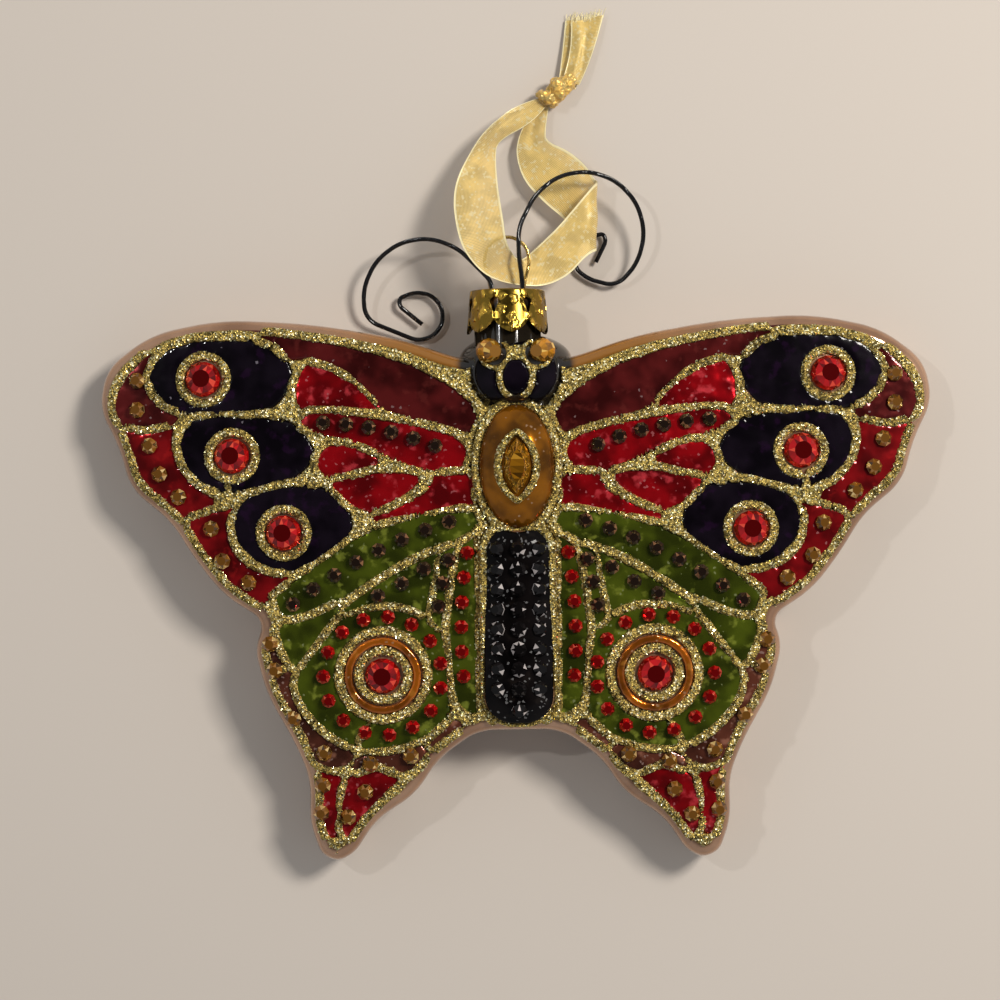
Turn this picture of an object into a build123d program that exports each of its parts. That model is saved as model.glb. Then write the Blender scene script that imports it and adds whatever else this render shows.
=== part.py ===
from build123d import *
import math
import os

# A mouth-blown glass butterfly ornament lying on its flat back, in millimetres.
# The back is at Z 0, the decorated front faces +Z, and the head points to +Y.

# Glass body
FRONT_HEIGHT = 12.0     # front of the wings above the back, on the centre line
DOME_RADIUS = 380.0     # crown of the wing fronts
RIM_ROUND = 2.0         # rounding of the wing edges, front and back
GLASS_WALL = 1.2
NECK_RADIUS = 4.8
NECK_WALL = 1.0
NECK_X = -1.1           # the blown neck stands a little off the centre line
NECK_HEIGHT = 8.5       # neck axis above the back
NECK_MOUTH = 31.6       # end of the neck along Y
NECK_BORE = 14.6        # depth of the neck's bore, down into the hollow of the wings
BODY_OVERLAP = 3.0      # how far the neck runs into the head

# Swellings of the body: centre along Y, axis height, radius across, half length of the straight middle and
# length of each rounded end
HEAD = (20.3, 6.0, 8.2, 2.0, 4.0)
THORAX = (6.9, 9.4, 6.4, 0.5, 9.6)
ABDOMEN = (-15.5, 7.1, 7.0, 10.5, 4.8)

# Coatings on the front
FILM_GAP = 0.04         # air left between a coating and what is beside or under it
ENAMEL = 0.3            # enamel thickness in the cells
GLITTER = 0.6           # height of the glitter lines
BAND_HEIGHT = 1.3       # height of the glitter bands round the thorax and abdomen
RING_HEIGHT = 0.9       # height of the amber rings of the hindwing eyes
RIM_WIDTH = 1.1         # bare glass between the silhouette and the outer glitter line
LINE_WIDTH = 0.9        # least width of the outer glitter line and of the lines beside the outer cells
OUTER_GROW = 0.35       # how far the outer cells spread past their drawn outlines
BAND_WIDTH = 1.2        # width of the glitter bands on the body
THORAX_OVAL = (6.5, 10.0)       # outside of the thorax band, half width and half length
ABDOMEN_OVAL = (5.5, 14.9)      # outside of the abdomen band
ABDOMEN_CORNER = 4.6
HEAD_OVAL = (6.4, 5.5)          # where the wing coatings stop at the head
HEAD_MARGIN = 0.5               # from there in to the head's own lacquer
FACE_CENTRE = 19.6
FACE_OVAL = (1.9, 2.6)
FACE_LINE = 0.9
EYE_COLLAR = 0.6                # width of the glitter round an eye
BROW = (23.1, 1.1)              # glitter spot between the eyes: place along Y and radius

# Stones: radius and height
RUBY = (2.55, 1.7)
RUBY_BEAD = (1.05, 0.9)
SMOKE = (1.1, 0.9)
TOPAZ = (1.2, 0.9)
JET = (1.15, 1.0)
EYE = (1.7, 1.3)
NAVETTE = (1.9, 4.0, 1.6)       # half width, half length and height
NAVETTE_SEAT = (2.2, 4.5)       # inside of the glitter collar round it
NAVETTE_COLLAR = (3.3, 5.4)     # outside of the collar
STONE_TAPER = 38                # slope of the crown facets, in degrees
GIRDLE_SHARE = 0.3              # upright part of a stone's height
RUBY_SEAT = 2.75                # bare glass disc under a ruby
RUBY_COLLAR = 4.1               # outside of the glitter collar round a ruby
EYE_PLACE = (3.05, 23.0)
JET_COLUMNS = 3
JET_ROWS = 8
JET_PITCH = (2.85, 2.85)        # across and along the abdomen
JET_FIRST = -4.9                # first row along Y

# Rings of the hindwing eye, as radii about its centre
HIND_EYE = (19.5, -22.9)
AMBER_RING = (4.4, 5.5)
EYE_FIELD = 7.2
BEAD_CIRCLE = 8.5
BEAD_COUNT = 15

# Crown cap
CAP_CLEARANCE = 0.25
CAP_SHEET = 0.35
CAP_SEAT = 0.3          # gap between the neck's mouth and the top plate
CAP_SKIRT = 5.6         # from the mouth down to the petal points
CAP_FLARE = 0.5
CAP_ROUND = 0.3
PETALS = 7
PETAL_TURN = 31.4       # first gap between petals, from straight up towards +X
TEAR_RADIUS = 0.62
TEAR_TOP = 0.55         # top of the teardrop below the mouth
TEAR_LENGTH = 2.6
NOTCH_LENGTH = 2.0      # from the petal points up to where petals meet
WIRE_SLOT = (2.4, 1.1)

# Hanger wire
WIRE_RADIUS = 0.25
WIRE_SPAN = 2.2         # the wire's holes, to each side of the neck axis
RING_RADIUS = 3.15
RING_CENTRE = 4.6       # above the top plate
LEG_LENGTH = 8.5
LEG_SPREAD = 2.9

# Antenna wires
ANTENNA_RADIUS = 0.33
ANTENNA_RISE = 1.3      # antenna roots above the neck axis
FOOT_DEPTH = 1.5
FOOT_LENGTH = 1.3
ROOT_LENGTH = 1.2

# Ribbon
RIBBON_SHEET = 0.2
KNOT_PLACE = (5.6, 61.6, 1.75)
KNOT_AXIS = (0.88, 0.48, -0.05)
KNOT_RADIUS = 1.6
KNOT_LENGTH = 3.8
KNOT_NECK = (0.7, 2.4)  # radius and length of the gathered neck

BEND_SHARE = 0.45       # share of the shorter run that a rounded corner takes up
SHARP_TURN = 66         # a cell's outline keeps a corner that turns by more than this, in degrees
WIRE_SIDES = 8          # flats round a wire
TALL = 3 * FRONT_HEIGHT

# Right half of the silhouette, from the head round the forewing, the notch and the tail to the abdomen
SILHOUETTE = [
    (0, 22.2), (7.2, 22.2), (17, 25.6), (30, 27.9), (43, 28.6), (53, 26.6), (59.4, 21.8), (60.6, 16),
    (57.6, 10.2), (56, 4.2), (50, -0.6), (46.8, -5.8), (42.6, -11.2), (36.6, -15), (38.1, -19),
    (36.5, -25.5), (32.4, -32.8), (30.3, -38), (30.5, -44.4), (28.9, -49), (26.4, -50.1), (23.9, -48.7),
    (20.8, -43.9), (15, -40.2), (11.8, -35.2), (6, -31), (0, -31),
]

# Cells of the right wings, drawn in plan
LEADING_BAND = [
    (5.6, 14), (8.6, 17.7), (14, 20.9), (20.5, 23.2), (28, 24.9), (37, 26.4), (44, 26.7), (51, 24.8),
    (56, 20.6), (58, 16), (57.2, 13.9), (49.6, 14), (42.6, 20.4), (30, 23), (23.8, 20.2), (21, 17.4),
    (17.6, 14.9), (11.6, 13.2), (6.3, 12.2),
]
EYESPOTS = [
    [(32.4, 20.2), (35, 24.1), (42.6, 25.4), (50.2, 24.1), (53, 20.2), (50.2, 16.2), (42.6, 15), (35, 16.2)],
    [(29.3, 8.9), (33.2, 13.5), (38.5, 14.3), (46.6, 13.9), (48.4, 10.4), (45.4, 5.2), (39.5, 4), (32.4, 5.8)],
    [(24.1, -1.2), (26, 2.8), (31, 4.1), (38.6, 2.8), (40.8, -0.9), (37.8, -6), (32, -7.7), (26.5, -4.8)],
]
EYESPOT_RUBIES = [(45, 19.9), (40.9, 8.8), (33.5, -2.3)]
FAN_CELLS = [
    [(20, 15.6), (23, 18.9), (30, 21.8), (31.4, 18.7), (31.3, 16), (24.5, 15.5)],
    [(6.8, 8.7), (9, 11.1), (18, 13.4), (24.5, 14.6), (29.6, 14.7), (31, 13.6), (26, 11.4), (19.5, 9.5),
     (15.2, 7.4), (9, 6.9)],
    [(20, 7.8), (22.4, 9.5), (26.9, 10), (28.2, 8.6), (28, 6.2), (23.8, 6.2)],
    [(14, 5.7), (21.7, 5.9), (26.6, 4.8), (24.5, 2.2), (21.7, 0.9), (17.3, 2.4)],
    [(6.5, 5.5), (11.7, 5.9), (12.8, 3.4), (17.4, 1), (21.9, -0.8), (15.2, 0), (6.3, 2)],
]
MARGIN_CELLS = [
    [(57.4, 13.2), (49.8, 13.4), (50.2, 10.5), (48, 5.6), (44.2, 2.1), (46, 1.2), (52.1, 0.6), (56.6, 4.6)],
    [(46.6, -0.4), (41, 0.8), (41.9, -1.2), (41, -6), (37, -8.6), (33.3, -8.8), (35.4, -11.6), (42.4, -10.8),
     (46.6, -4.6)],
]
GREEN_BAND = [
    (6, 0.2), (14.9, -0.2), (20.5, -2.2), (26, -4.9), (30.4, -8.1), (34.8, -11.4), (33.8, -14.2),
    (29.4, -13.4), (20, -8.4), (13.6, -4.7), (9, -3.3), (6.2, -1.5),
]
GREEN_CELLS = [
    [(24.9, -12), (30, -14.7), (34.2, -15.7), (33.8, -19), (32, -21.8), (29.2, -18.2)],
    [(11.6, -5.6), (17.4, -8.3), (23, -11.9), (27.4, -16), (24.4, -13.9), (20, -12.5), (15.4, -12.9),
     (13.2, -14.1), (12.3, -10)],
    [(9, -4.7), (10.8, -5.4), (11.5, -10), (12.4, -14.6), (11, -16.4), (10.2, -10.5)],
    [(6, -3.2), (7.8, -4.6), (9.2, -10), (9.9, -16), (9.6, -23), (8.6, -27), (6, -28.6)],
]
EYE_CELL = [
    (11, -17.4), (13.4, -15), (20, -13.3), (25.6, -15), (28.6, -18.6), (31.6, -22.8), (31.6, -25.6),
    (29, -29.6), (24.8, -32.6), (19.3, -33.4), (14, -31.8), (10.6, -29), (10.2, -23),
]
EYE_SPOKE = [(20.6, -29.2), (21.5, -28.9), (24.6, -33.6), (23.6, -34)]
BROWN_CELLS = [
    [(34.9, -15.2), (36.9, -16), (37.4, -20), (35.6, -26.4), (33, -22.7), (34.6, -19)],
    [(32.8, -24.9), (31.6, -27.6), (29.2, -31), (25.4, -33.6), (24.4, -35.1), (26.1, -35.7), (31.2, -34.4),
     (34.6, -28)],
    [(23.8, -36), (20.4, -34.3), (15.2, -33.2), (14, -34.2), (15.4, -35.8), (21.9, -36.9)],
    [(13.4, -34.6), (12.6, -33.2), (9.4, -30.2), (8.2, -30.4), (10.6, -33)],
]
TAIL_CELLS = [
    [(30.4, -35.6), (26, -37.8), (26.3, -41), (27, -46), (28.8, -47), (30.4, -44), (30.2, -39)],
    [(24, -37.8), (17.4, -37.7), (20.4, -40.6), (24.8, -46.6), (26, -43.6), (25.4, -40)],
]

# Rows of stones: the curve that each row follows, and its count
SMOKE_ROWS = [
    ([(11.6, 9.9), (19, 12.2), (27.6, 13.4)], 6),
    ([(9.7, -0.9), (20.6, -5.3), (32.2, -12.5)], 8),
    ([(13.4, -7.6), (17, -9.9), (20, -11.4)], 3),
    ([(9.9, -6.4), (10.7, -9.6), (11.4, -13)], 3),
]
TOPAZ_ROWS = [
    ([(54.6, 19.8), (55, 17.8), (54.6, 15.6)], 2),
    ([(52.8, 10.4), (51.4, 6.4), (48.6, 3)], 3),
    ([(43.9, -1.6), (42.6, -5.8), (38.6, -9.4)], 3),
    ([(35.6, -18.2), (35.5, -20), (35, -22)], 2),
    ([(32.4, -29), (30.6, -31.8), (28, -33.9)], 2),
    ([(21.4, -35.5), (18.5, -35), (15.6, -34.4)], 2),
    ([(28.3, -38.6), (28.6, -40.6), (28.6, -42.6)], 2),
    ([(22.2, -39.6), (23.8, -41.4), (24.7, -43.2)], 2),
]
RUBY_BEAD_ROW = ([(7.2, -5.4), (8.1, -14), (7.9, -23)], 6)

# Ribbon loop, as the two selvedges along it: from the knot, over the ring, behind its right side and back
RIBBON_EDGES = [
    ((2.6, 61.4, 2.4), (3.7, 59.3, 2.4)), ((0.4, 59.6, 2.9), (2.0, 57.4, 3.0)),
    ((-4.0, 56.1, 4.9), (-2.4, 54.6, 2.9)), ((-6.2, 52.8, 5.6), (-2.6, 52.0, 2.9)),
    ((-8.2, 48.9, 6.8), (-2.4, 48.6, 4.6)), ((-8.8, 45.4, 8.4), (-2.0, 45.2, 7.2)),
    ((-8.4, 41.7, 10.1), (-1.5, 42.0, 9.8)), ((-7.6, 38.6, 10.7), (-1.3, 39.9, 10.7)),
    ((-6.2, 36.4, 10.5), (-0.9, 38.5, 9.9)), ((-4.3, 34.5, 10.0), (-0.3, 37.6, 8.6)),
    ((-2.0, 33.5, 9.1), (0.4, 36.9, 7.4)), ((1.0, 33.0, 7.6), (1.3, 36.9, 6.6)),
    ((4.6, 33.0, 6.5), (3.2, 38.6, 6.2)), ((7.9, 34.6, 6.0), (6.2, 41.4, 6.0)),
    ((10.0, 37.0, 5.6), (8.8, 44.4, 5.7)), ((10.8, 38.2, 5.2), (10.9, 47.4, 5.4)),
    ((11.5, 38.5, 4.0), (11.6, 48.0, 4.2)), ((10.7, 38.8, 2.8), (10.9, 47.8, 3.0)),
    ((7.6, 43.0, 2.4), (9.4, 50.0, 2.7)), ((4.2, 45.8, 2.3), (7.0, 52.0, 2.5)),
    ((1.2, 49.6, 2.0), (4.8, 53.8, 2.1)), ((0.6, 54.8, 1.4), (4.8, 55.8, 1.5)),
    ((3.8, 58.8, 1.0), (6.2, 59.2, 1.0)),
]
TAIL_EDGES = [
    [((9.5, 64.6, 0.7), (10.4, 63.2, 0.7)), ((7.4, 67.8, 0.5), (11.4, 67, 0.5)),
     ((7.9, 71.6, 0.4), (12.4, 72.4, 0.4))],
    [((9.5, 64.6, 1.5), (10.4, 63.2, 1.5)), ((8.2, 68.2, 1.2), (12, 66.4, 1.2)),
     ((8.7, 72.5, 0.9), (13, 71.4, 0.9))],
]

# Antenna curls: the root's run, then a large and a small turn, then the folded tip
LEFT_RUN = [(-4.9, 35.2, 8.9)]
LEFT_TURNS = [((-13.4, 31.4), 8.66, (40, 212), 6, (7.6, 1.5)), ((-14, 29.2), 3.4, (245, 480), 6, (1.1, 1.2))]
LEFT_TIP = [(-16.9, 31.9, 1.2), (-16.9, 30.7, 1.2), (-13.6, 28, 1.2)]
RIGHT_RUN = [(0.6, 37.2, 10.5), (0.6, 41.2, 10.2)]
RIGHT_TURNS = [((10.2, 40.8), 8.66, (158, -72), 8, (8.8, 1.1)), ((11.9, 37.6), 3.1, (-84, -258), 4, (0.9, 0.9))]
RIGHT_TIP = [(13.2, 41.1, 0.9), (13.5, 39.9, 0.9), (12, 36.9, 0.9)]


# Rounded outlines

def corner_radii(points):
    """A radius for each inner corner, as large as its two runs allow."""
    radii = []
    for before, here, after in zip(points, points[1:], points[2:]):
        first = Vector(*here) - Vector(*before)
        second = Vector(*after) - Vector(*here)
        turn = math.radians(first.get_angle(second))
        radii.append(BEND_SHARE * min(first.length, second.length) / math.tan(turn / 2))
    return radii


def rounded_path(points):
    """Straight runs joined by tangent arcs."""
    return FilletPolyline(*points, radius=corner_radii(points))


def flats(path, points):
    """Corners of short flats along a curve: at the points it was drawn through and midway between them."""
    runs = [math.dist(*pair) for pair in zip(points, points[1:])]
    corners = []
    for index, run in enumerate(runs):
        corners += [path @ (sum(runs[:index], share * run) / sum(runs)) for share in (0, 0.5)]
    return corners


def cell(points):
    """A closed plan outline as a face: smooth curves in short flats, broken at sharp corners."""
    count = len(points)
    sharp = []
    for index, here in enumerate(points):
        first = Vector(*here) - Vector(*points[index - 1])
        second = Vector(*points[(index + 1) % count]) - Vector(*here)
        if first.get_angle(second) > SHARP_TURN:
            sharp.append(index)
    if not sharp:
        return make_face(Polyline(*flats(Spline(*points, periodic=True), [*points, points[0]]), close=True))
    corners = []
    for start, end in zip(sharp, [*sharp[1:], sharp[0] + count]):
        run = [points[index % count] for index in range(start, end + 1)]
        corners += run[:1] if len(run) == 2 else flats(Spline(*run), run)
    return make_face(Polyline(*corners, close=True))


def spindle(half_axes):
    """A pointed oval about the origin."""
    half_width, half_length = half_axes
    side = ThreePointArc((0, -half_length), (half_width, 0), (0, half_length))
    return make_face([side, mirror(side, Plane.YZ)])


def cells(outlines):
    """Several cells as one sketch."""
    return Sketch() + [cell(points) for points in outlines]


def grown(outlines, margin):
    """Several cells, each spread by a margin, as one sketch."""
    return Sketch() + [offset(cell(points), margin, kind=Kind.INTERSECTION) for points in outlines]


def both_sides(shape):
    """A right-hand shape with its mirrored left-hand twin."""
    return Sketch() + [shape, mirror(shape, Plane.YZ)]


def oval(place, half_axes):
    """An ellipse on the centre line."""
    return Pos(0, place) * Ellipse(*half_axes)


def pill(inset):
    """The long rounded outline of the abdomen band, drawn in by the inset."""
    half_width, half_length = [half - inset for half in ABDOMEN_OVAL]
    return Pos(0, ABDOMEN[0]) * RectangleRounded(2 * half_width, 2 * half_length, ABDOMEN_CORNER - inset)


def discs(places, radius):
    """Equal circles at plan positions."""
    return Sketch() + [Pos(*place) * Circle(radius) for place in places]


def row(curve, count):
    """Evenly spaced plan positions along a curve, from its first point to its last."""
    path = Spline(*curve)
    return [tuple(path @ (index / (count - 1)))[:2] for index in range(count)]


def row_places(rows):
    """All positions of several rows."""
    return [place for curve, count in rows for place in row(curve, count)]


def bead_places():
    """Ruby beads round the hindwing eye and down beside the abdomen."""
    places = row(*RUBY_BEAD_ROW)
    for index in range(BEAD_COUNT):
        angle = 2 * math.pi * index / BEAD_COUNT
        spoke = Vector(math.cos(angle), math.sin(angle)) * BEAD_CIRCLE
        places.append((HIND_EYE[0] + spoke.X, HIND_EYE[1] + spoke.Y))
    return places


def jet_places():
    """The columns of stones down the abdomen, with one more at its tip."""
    across = [(column - (JET_COLUMNS - 1) / 2) * JET_PITCH[0] for column in range(JET_COLUMNS)]
    places = [(x, JET_FIRST - line * JET_PITCH[1]) for x in across for line in range(JET_ROWS)]
    return [*places, (0, JET_FIRST - JET_ROWS * JET_PITCH[1])]


def ring_area(centre, inner, outer):
    """A flat ring in plan."""
    return Pos(*centre) * (Circle(outer) - Circle(inner))


def turn_corners(centre, radius, angles, count, heights):
    """Corners of the polyline that a turn of wire is rounded from."""
    step = (angles[1] - angles[0]) / count
    reach = radius / math.cos(math.radians(step / 2))
    corners = []
    for index in range(count):
        angle = math.radians(angles[0] + step * (index + 0.5))
        height = heights[0] + (heights[1] - heights[0]) * (index + 0.5) / count
        corners.append((centre[0] + reach * math.cos(angle), centre[1] + reach * math.sin(angle), height))
    return corners


# Surfaces that the coatings follow

def dome(lift):
    """A ball whose upper side is the wing front, raised by the lift."""
    return Pos(0, 0, FRONT_HEIGHT - DOME_RADIUS) * Rot(90, 0, 0) * Sphere(DOME_RADIUS + lift)


def swelling(size, grow):
    """A turned egg along Y: head, thorax or abdomen, grown all round."""
    centre, height, radius, straight, end = size
    front = EllipticalCenterArc((straight, 0), end + grow, radius + grow, 0, arc_size=90)
    rear = EllipticalCenterArc((-straight, 0), end + grow, radius + grow, 90, arc_size=90)
    profile = make_face([front, Line(front @ 1, rear @ 0), rear, Line(rear @ 1, front @ 0)])
    return Pos(0, centre, height) * Rot(0, 0, 90) * revolve(profile, Axis.X)


def dome_seat(x, y, lift):
    """The plane on the wing front at a plan position, raised by the lift."""
    middle = Vector(0, 0, FRONT_HEIGHT - DOME_RADIUS)
    height = math.sqrt(DOME_RADIUS ** 2 - x * x - y * y)
    normal = Vector(x, y, height).normalized()
    return Plane(middle + normal * (DOME_RADIUS + lift), z_dir=normal)


def swelling_seat(size, x, y, lift):
    """The plane on a swelling at a plan position, raised by the lift."""
    centre, height, radius, straight, end = size
    along = math.copysign(max(abs(y - centre) - straight, 0), y - centre)
    rise = math.sqrt(radius ** 2 * (1 - (along / end) ** 2) - x * x)
    normal = Vector(x / radius ** 2, along / end ** 2, rise / radius ** 2).normalized()
    return Plane(Vector(x, y, height + rise) + normal * lift, z_dir=normal)


def film(area, low, high):
    """A coating over a plan area of the wing front, between two levels above the glass."""
    return (extrude(area, TALL) & dome(high)) - dome(low)


def skin(area, size, low, high):
    """A coating over a plan area of the front of a swelling, between two levels above the glass."""
    front = extrude(Pos(0, 0, size[1]) * area, TALL)
    return front & (swelling(size, high) - swelling(size, low))


# Plan of the decoration

edge = rounded_path(SILHOUETTE)
half_plan = make_face([edge, Line(edge @ 1, edge @ 0)])
plan = half_plan + mirror(half_plan, Plane.YZ)
panel = offset(plan, -RIM_WIDTH)
field = offset(plan, -RIM_WIDTH - LINE_WIDTH)

thorax_oval = oval(THORAX[0], THORAX_OVAL)
thorax_dome = oval(THORAX[0], [half - BAND_WIDTH for half in THORAX_OVAL])
abdomen_oval = pill(0)
abdomen_dome = pill(BAND_WIDTH) - thorax_oval
head_dome = oval(HEAD[0], [half - HEAD_MARGIN for half in HEAD_OVAL]) - thorax_oval
body_plan = oval(HEAD[0], HEAD_OVAL) + thorax_oval + abdomen_oval
eyes = discs([EYE_PLACE], EYE[0] + FILM_GAP)
face = oval(FACE_CENTRE, [half + FACE_LINE for half in FACE_OVAL]) - oval(FACE_CENTRE, FACE_OVAL)
face += both_sides(discs([EYE_PLACE], EYE[0] + EYE_COLLAR)) + discs([(0, BROW[0])], BROW[1])
face = (face & head_dome) - both_sides(eyes)

ruby_places = [*EYESPOT_RUBIES, HIND_EYE]
collars = discs(EYESPOT_RUBIES, RUBY_COLLAR)
seats = discs(ruby_places, RUBY_SEAT)
amber_area = ring_area(HIND_EYE, *AMBER_RING)
eye_disc = Pos(*HIND_EYE) * Circle(EYE_FIELD)


def coloured(shape):
    """The cells of one colour on both sides, kept inside the outer glitter line and off the body."""
    return (both_sides(shape) & field) - body_plan


leading = coloured(cell(LEADING_BAND) - grown(EYESPOTS[:1], LINE_WIDTH))
eyespots = coloured(cells(EYESPOTS) - collars)
fans = coloured(cells(FAN_CELLS + TAIL_CELLS))
margins = coloured(grown(MARGIN_CELLS, OUTER_GROW) - grown([LEADING_BAND, *EYESPOTS, GREEN_BAND], LINE_WIDTH))
greens = coloured(cells([GREEN_BAND, *GREEN_CELLS]) + (cell(EYE_CELL) - eye_disc - cell(EYE_SPOKE)))
beside_browns = [EYE_CELL, GREEN_BAND, *GREEN_CELLS, *TAIL_CELLS]
browns = coloured(grown(BROWN_CELLS, OUTER_GROW) - grown(beside_browns, LINE_WIDTH))
ambers = both_sides(amber_area)
lines = panel - body_plan - both_sides(seats) - ambers
for colour in (leading, eyespots, fans, margins, greens, browns):
    lines -= colour


def enamel(area, thickness=ENAMEL):
    """Enamel filling cells up to the glitter lines round them."""
    return film(area, FILM_GAP, thickness)


# Glass

def wing_body():
    """The winged slab with its crowned front and rounded edges."""
    slab = extrude(plan, TALL) & dome(0)
    wall_faces = [face for face in slab.faces() if abs(face.normal_at().Z) < 0.5]
    upright = [line for line in slab.edges() if abs(line.tangent_at(0.5).Z) > 0.9]
    rims = ShapeList([line for face in wall_faces for line in face.edges() if line not in upright])
    return fillet(rims, RIM_ROUND)


def along_neck(start, end, radius):
    """A round bar on the neck's axis between two positions along Y."""
    bar = Cylinder(radius, end - start, align=(Align.CENTER, Align.CENTER, Align.MIN))
    return Pos(NECK_X, start, NECK_HEIGHT) * Rot(-90, 0, 0) * bar


def glass_shell():
    """The blown body: wings, head, thorax, abdomen and neck, hollow and open at the neck's mouth."""
    above_back = Pos(0, 0, TALL / 2) * Box(400, 400, TALL)
    neck_root = HEAD[0] + BODY_OVERLAP
    outer = wing_body() + [swelling(size, 0) & above_back for size in (HEAD, THORAX, ABDOMEN)]
    outer += along_neck(neck_root, NECK_MOUTH, NECK_RADIUS)
    hollow = extrude(Pos(0, 0, GLASS_WALL) * offset(plan, -GLASS_WALL), TALL) & dome(-GLASS_WALL)
    return outer - hollow - along_neck(NECK_MOUTH - NECK_BORE, NECK_MOUTH, NECK_RADIUS - NECK_WALL)


# Stones

def stone(size, sides):
    """A flat-back stone with a sloping crown and a flat table."""
    radius, height = size
    girdle = height * GIRDLE_SHARE
    outline = RegularPolygon(radius, sides)
    return extrude(outline, girdle) + extrude(Pos(0, 0, girdle) * outline, height - girdle, taper=STONE_TAPER)


def navette():
    """A pointed oval stone with a sloping crown."""
    half_width, half_length, height = NAVETTE
    outline = []
    for side in (1, -1):
        for share in (-0.75, -0.4, 0, 0.4, 0.75):
            outline.append((side * half_width * (1 - share * share), side * half_length * share))
        outline.append((0, side * half_length))
    table = [(0.55 * x, 0.6 * y) for x, y in outline]
    low = make_face(Polyline(*outline, close=True))
    high = Pos(0, 0, height) * make_face(Polyline(*table, close=True))
    return loft([low, high])


def mirrored(places):
    """Right-hand plan positions and their left-hand twins."""
    return [(side * place[0], place[1]) for place in places for side in (1, -1)]


def set_stones(one, seats_for_stones):
    """Copies of a stone, one on each seat."""
    return Compound(children=[seat * one for seat in seats_for_stones])


def wing_stones(size, sides, places, under):
    """Stones on the wing fronts, on both sides."""
    one = stone(size, sides)
    return set_stones(one, [dome_seat(x, y, under + FILM_GAP) for x, y in mirrored(places)])


def body_stones(size, sides, under, places, depth):
    """Stones on a swelling, over a coating of the stated depth."""
    one = stone(size, sides)
    return set_stones(one, [swelling_seat(under, x, y, depth + FILM_GAP) for x, y in places])


# Cap and wires

PLATE = NECK_MOUTH + CAP_SEAT + CAP_SHEET       # outer face of the cap's top plate, along Y


def petal_gap():
    """The cut between two petals: a teardrop above, a pointed notch below."""
    half = math.pi * (NECK_RADIUS + CAP_CLEARANCE + CAP_FLARE + CAP_SHEET) / PETALS
    bulb = -TEAR_TOP - TEAR_RADIUS
    point = -TEAR_TOP - TEAR_LENGTH
    tear = Pos(0, bulb) * Circle(TEAR_RADIUS)
    tear += make_face(Polyline((-TEAR_RADIUS, bulb), (TEAR_RADIUS, bulb), (0, point), close=True))
    apex = -CAP_SKIRT + NOTCH_LENGTH
    side = ThreePointArc((0, apex), (0.28 * half, apex - NOTCH_LENGTH / 2), (half, -CAP_SKIRT))
    base = Polyline((half, -CAP_SKIRT), (half, -CAP_SKIRT - 1), (0, -CAP_SKIRT - 1), (0, apex))
    notch = make_face([side, base])
    return tear + notch + mirror(notch, Plane.YZ)


def crown_cap():
    """The stamped cap: a turned cup with leaf-shaped petals and slots for the wires."""
    inner = NECK_RADIUS + CAP_CLEARANCE
    outer = inner + CAP_SHEET
    profile = make_face(Polyline(
        (0, CAP_SEAT), (inner, CAP_SEAT), (inner + CAP_FLARE, -CAP_SKIRT), (outer + CAP_FLARE, -CAP_SKIRT),
        (outer, CAP_SEAT + CAP_SHEET), (0, CAP_SEAT + CAP_SHEET), close=True))
    crown = fillet(profile.vertices().sort_by(lambda corner: corner.X + corner.Y)[-1], CAP_ROUND)
    cup = revolve(Plane.XZ * crown, Axis.Z)
    cut = extrude(Plane.YZ.offset(inner - 1) * petal_gap(), CAP_FLARE + CAP_SHEET + 2)
    cup -= [Rot(0, 0, PETAL_TURN - 90 + 360 / PETALS * index) * cut for index in range(PETALS)]
    slot = extrude(Pos(0, -ANTENNA_RISE / 2) * SlotOverall(*WIRE_SLOT, rotation=90), 4 * CAP_SHEET)
    cup -= [Pos(side * WIRE_SPAN, 0, CAP_SEAT - CAP_SHEET) * slot for side in (1, -1)]
    return Pos(NECK_X, NECK_MOUTH, NECK_HEIGHT) * Rot(-90, 0, 0) * cup


def wire(points, radius):
    """A wire along straight runs and tangent arcs."""
    path = rounded_path(points)
    return sweep(Plane(path @ 0, z_dir=path % 0) * RegularPolygon(radius, WIRE_SIDES), path)


def hanger_wire():
    """The ring above the cap and its two spring legs inside the neck."""
    middle = (NECK_X, PLATE + RING_CENTRE)
    ring = turn_corners(middle, RING_RADIUS, (205, -25), 6, (NECK_HEIGHT, NECK_HEIGHT))
    ends = []
    for side in (-1, 1):
        ends.append([(NECK_X + side * LEG_SPREAD, PLATE - LEG_LENGTH, NECK_HEIGHT),
                     (NECK_X + side * WIRE_SPAN, PLATE, NECK_HEIGHT)])
    return wire([*ends[0], *ring, *reversed(ends[1])], WIRE_RADIUS)


def antenna(side, run, turns, tip):
    """A curled antenna with a foot bent under the cap's top plate."""
    hole = NECK_X + side * WIRE_SPAN
    height = NECK_HEIGHT + ANTENNA_RISE
    points = [(hole - side * FOOT_LENGTH, PLATE - FOOT_DEPTH, height), (hole, PLATE - FOOT_DEPTH, height),
              (hole, PLATE + ROOT_LENGTH, height), *run]
    for turn in turns:
        points += turn_corners(*turn)
    return wire(points + tip, ANTENNA_RADIUS)


# Ribbon

def strip(edges):
    """A thin band through pairs of selvedge points."""
    middles = [(Vector(*left) + Vector(*right)) / 2 for left, right in edges]
    sections = []
    for index, (left, right) in enumerate(edges):
        along = middles[min(index + 1, len(edges) - 1)] - middles[max(index - 1, 0)]
        across = Vector(*right) - Vector(*left)
        lift = along.cross(across).normalized() * (RIBBON_SHEET / 2)
        corners = [Vector(*left) + lift, Vector(*right) + lift, Vector(*right) - lift, Vector(*left) - lift]
        sections.append(make_face(Polyline(*corners, close=True)))
    return loft(sections, ruled=True)


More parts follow.
